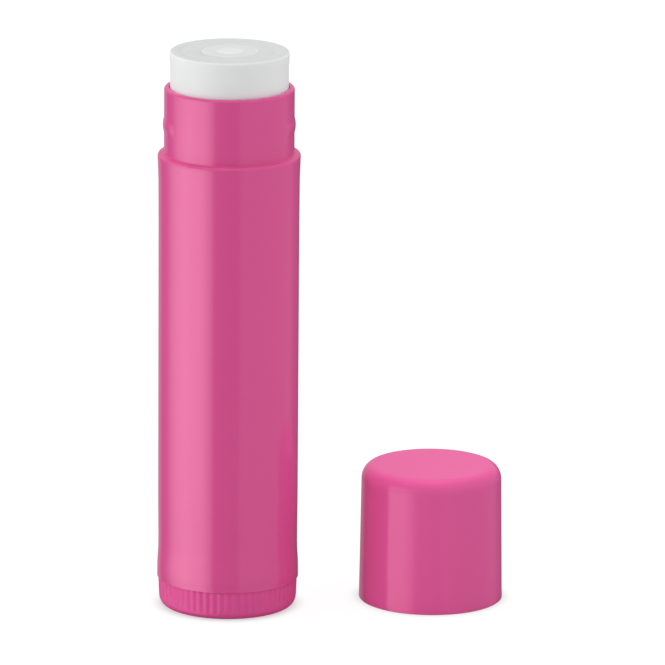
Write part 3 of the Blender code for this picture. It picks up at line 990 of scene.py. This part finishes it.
# %% Floor
floor_size = 6.0
floor_white = 0.7
floor_bounce_seen = 0.15
floor_glow_seen = 0.9
contact_reach = 2.4 * mm
contact_back = (0.0, 1.0, 0.0)
contact_up = (0.0, 0.0, 1.0)
contact_up_share = 0.6
contact_span = (0.05, 0.28)
contact_depth = 0.32
contact_rays = 16


def seen_by_eye(tree):
    """1 for what the camera, a gloss or a clear piece looks at, and 0 for scattered light."""
    path = tree.nodes.new('ShaderNodeLightPath')
    seen = maths(tree, 'MAXIMUM', path.outputs["Is Camera Ray"], path.outputs["Is Glossy Ray"])
    return maths(tree, 'MAXIMUM', seen, path.outputs["Is Transmission Ray"])


bpy.ops.object.select_all(action='DESELECT')
bpy.ops.mesh.primitive_plane_add(size=floor_size)
floor = bpy.context.object
floor.name = "floor"
sheet = bpy.data.materials.new("white_sheet")
sheet.use_nodes = True
tree = sheet.node_tree
tree.nodes.clear()
seen = seen_by_eye(tree)
level = smooth_step(tree, seen, 0.0, 1.0, floor_white, floor_bounce_seen)
grey = put(tree, 'ShaderNodeCombineXYZ', {0: level, 1: level, 2: level})
matt = put(tree, 'ShaderNodeBsdfDiffuse', {"Color": grey.outputs[0]})
open_ways = []
for way in (contact_back, contact_up):
    look_round = put(tree, 'ShaderNodeAmbientOcclusion', {"Distance": contact_reach, "Normal": way},
                     samples=contact_rays)
    open_ways.append(look_round.outputs["AO"])
closed = maths(tree, 'SUBTRACT', 1.0 - contact_up_share, open_ways[0])
closed = maths(tree, 'MULTIPLY_ADD', open_ways[1], contact_up_share, closed)
clear = smooth_step(tree, closed, *contact_span, 1.0, 1.0 - contact_depth)
white = maths(tree, 'MULTIPLY', maths(tree, 'MULTIPLY', clear, seen), floor_glow_seen)
shine = put(tree, 'ShaderNodeEmission', {"Strength": white})
both = put(tree, 'ShaderNodeAddShader', {0: matt.outputs[0], 1: shine.outputs[0]})
put(tree, 'ShaderNodeOutputMaterial', {"Surface": both.outputs[0]})
dress(floor, sheet)
floor.visible_glossy = False

# %% [markdown]
# The gloss shows what stands round the stick: a tall soft box at the left, a narrow dark gap
# in front, a weaker fill at the right and dark cards behind. The box ends at a top edge, and a
# fainter glow hangs overhead. They are one round tent here, and its glow depends on the
# direction and the height. Only reflections see it, so it lights nothing.

# %% Tent that the gloss mirrors
tent_radius = 0.78
box_glow = 4.8
box_left = (-122.0, -98.0)
box_rise = (-108.0, -70.0)
box_rise_from = 0.38
box_fade = (-46.0, -27.0)
box_fade_to = 0.45
box_right = (-27.3, -24.7)
gap_glow = 0.25
fill_left = (17.0, 20.0)
fill_glow = 0.88
fill_fade = (40.0, 115.0)
fill_fade_to = 0.62
dark_from = (112.0, 138.0)
dark_glow = 0.1
back_glow = 0.38
back_left = (-150.0, -138.0)
back_left_glow = 0.4
back_rise = (4.0, 12.0)
overhead = (60.0, 66.0)
overhead_glow = 0.8
box_top = (20.0, 26.0)
box_foot = (-175 * mm, -203 * mm)
box_foot_glow = 0.8
box_flare = (-130 * mm, -95 * mm)
box_flare_glow = 0.62
# The painted reflections under the floor glow with this share of the pink.
painted_reflection_share = 0.8


# %% Helpers for what only the gloss sees
def glowing_material(name):
    """An empty material for something that glows, but isn't used as a lamp."""
    material = bpy.data.materials.new(name)
    material.use_nodes = True
    material.cycles.emission_sampling = 'NONE'
    material.node_tree.nodes.clear()
    return material, material.node_tree


def show_to_gloss_alone(piece):
    """Hide a piece from everything but reflections."""
    piece.visible_camera = False
    piece.visible_diffuse = False
    piece.visible_shadow = False
    piece.visible_transmission = False


# %% Build the tent
bpy.ops.object.select_all(action='DESELECT')
bpy.ops.mesh.primitive_uv_sphere_add(segments=48, ring_count=24, radius=tent_radius)
tent = bpy.context.object
tent.name = "light_tent"
glow, tree = glowing_material("tent_glow")
wall_place = tree.nodes.new('ShaderNodeNewGeometry').outputs["Position"]
spot = put(tree, 'ShaderNodeSeparateXYZ', {0: wall_place})
towards = maths(tree, 'MULTIPLY', spot.outputs[1], -1.0)
turned = maths(tree, 'ARCTAN2', spot.outputs[0], towards)
turned = maths(tree, 'MULTIPLY', turned, math.degrees(1.0))
off_front = maths(tree, 'ABSOLUTE', turned)
up = maths(tree, 'MULTIPLY', maths(tree, 'ARCSINE', maths(tree, 'DIVIDE', spot.outputs[2], tent_radius)),
           math.degrees(1.0))
box = smooth_step(tree, turned, *box_left)
box_edges = ((box_rise, box_rise_from, 1.0), (box_fade, 1.0, box_fade_to), (box_right, 1.0, 0.0))
for edge, low, high in box_edges:
    box = maths(tree, 'MULTIPLY', box, smooth_step(tree, turned, *edge, low, high))
box = maths(tree, 'MULTIPLY', box, smooth_step(tree, spot.outputs[2], box_foot[1], box_foot[0],
                                               box_foot_glow, 1.0))
box = maths(tree, 'MULTIPLY', box, smooth_step(tree, spot.outputs[2], *box_flare, 1.0, box_flare_glow))
box = maths(tree, 'MULTIPLY', box, smooth_step(tree, up, *box_top, 1.0, 0.0))
fill = smooth_step(tree, turned, *fill_left, gap_glow, fill_glow)
fill = maths(tree, 'MULTIPLY', fill, smooth_step(tree, turned, *fill_fade, 1.0, fill_fade_to))
fill = maths(tree, 'MULTIPLY', fill, smooth_step(tree, off_front, *dark_from, 1.0, 0.0))
back = smooth_step(tree, off_front, *dark_from)
rear = smooth_step(tree, turned, *back_left, back_left_glow, dark_glow)
rear = maths(tree, 'MAXIMUM', rear, smooth_step(tree, up, *back_rise, dark_glow, back_glow))
back = maths(tree, 'MULTIPLY', back, rear)
total = maths(tree, 'ADD', maths(tree, 'MULTIPLY_ADD', box, box_glow, fill), back)
total = maths(tree, 'MULTIPLY', total, smooth_step(tree, up, *overhead, 1.0, 0.0))
total = maths(tree, 'ADD', total, smooth_step(tree, up, *overhead, 0.0, overhead_glow))
lamp = put(tree, 'ShaderNodeEmission', {"Strength": total})
put(tree, 'ShaderNodeOutputMaterial', {"Surface": lamp.outputs[0]})
dress(tent, glow)
show_to_gloss_alone(tent)

# %% [markdown]
# The walls look down towards the table, and there the gloss shows two plain posts under the
# floor. They are painted reflections of the stick and the cap: they glow a dark pink, though
# they are no lamps, and only the gloss sees them.

# %% Painted reflections of the stick and the cap, under the floor
for name, centre, radius, height in (("stick_painted_reflection", Vector((0, 0)), barrel_radius, balm_top),
                                     ("cap_painted_reflection", cap_centre.xy, cap_mouth_radius, cap_height)):
    bpy.ops.object.select_all(action='DESELECT')
    bpy.ops.mesh.primitive_cylinder_add(vertices=96, radius=radius, depth=height,
                                        location=(centre.x, centre.y, -height / 2))
    painted_reflection = bpy.context.object
    painted_reflection.name = name
    bpy.ops.object.shade_smooth_by_angle(angle=math.radians(smooth_degrees))
    dye_and_painted_light, tree = glowing_material(name + "_pink")
    # Each post glows a dark pink: a painted reflection, not a lamp.
    reflection_glow = put(tree, 'ShaderNodeEmission', {"Color": tinted(pink, painted_reflection_share), "Strength": 1.0})
    put(tree, 'ShaderNodeOutputMaterial', {"Surface": reflection_glow.outputs[0]})
    dress(painted_reflection, dye_and_painted_light)
    show_to_gloss_alone(painted_reflection)

# %% [markdown]
# The room's own light is even and comes from everywhere. To the camera the world is plain
# white. Five soft lamps shape the pieces: one at the left, a weaker one at the right, and one
# high at the back that brightens what faces up. The last two are linked to pieces: one at the
# same high place lights the pink plastic alone, and one at the front left lights the cap alone.

# %% World
room_light = 0.98
world = bpy.data.worlds.new("white_room")
bpy.context.scene.world = world
world.use_nodes = True
tree = world.node_tree
tree.nodes.clear()
level = smooth_step(tree, seen_by_eye(tree), 0.0, 1.0, room_light, 1.0)
sky = put(tree, 'ShaderNodeBackground', {"Strength": level})
put(tree, 'ShaderNodeOutputWorld', {"Surface": sky.outputs[0]})

# %% Sizes, places and powers of the lamps
middle = (6 * mm, 0, 30 * mm)
side_size = (0.3, 0.5)
above_size = (0.5, 0.35)
cap_lamp_size = (0.3, 0.3)
left_place = (-0.5, -0.12, 0.12)
right_place = (0.5, -0.08, 0.15)
above_place = (0.0, 0.16, 0.58)
cap_lamp_place = (-0.38, -0.34, 0.12)
left_power = 1.0
right_power = 0.42
above_power = 0.54
plastic_power = 1.75
cap_lamp_power = 0.5


# %% Lamps
def soft_lamp(name, place, size, power):
    """A soft rectangular lamp that shines at the middle, and that the gloss doesn't mirror."""
    facing = (Vector(middle) - Vector(place)).to_track_quat('-Z', 'Y').to_euler()
    bpy.ops.object.light_add(type='AREA', location=place, rotation=facing)
    lamp = bpy.context.object
    lamp.name = name
    lamp.data.shape = 'RECTANGLE'
    lamp.data.size, lamp.data.size_y = size
    lamp.data.energy = power
    lamp.visible_glossy = False
    return lamp


def limit_light(lamp, name, pieces):
    """Let a lamp light these pieces alone."""
    group = bpy.data.collections.new(name)
    for piece in pieces:
        group.objects.link(piece)
    lamp.light_linking.receiver_collection = group


soft_lamp("left_lamp", left_place, side_size, left_power)
soft_lamp("right_lamp", right_place, side_size, right_power)
soft_lamp("top_lamp", above_place, above_size, above_power)
plastic_lamp = soft_lamp("plastic_lamp", above_place, above_size, plastic_power)
limit_light(plastic_lamp, "the_pink_plastic", [tube, wheel, cap])
cap_lamp = soft_lamp("cap_lamp", cap_lamp_place, cap_lamp_size, cap_lamp_power)
limit_light(cap_lamp, "the_cap_alone", [cap])
bpy.context.scene.view_settings.view_transform = 'Standard'
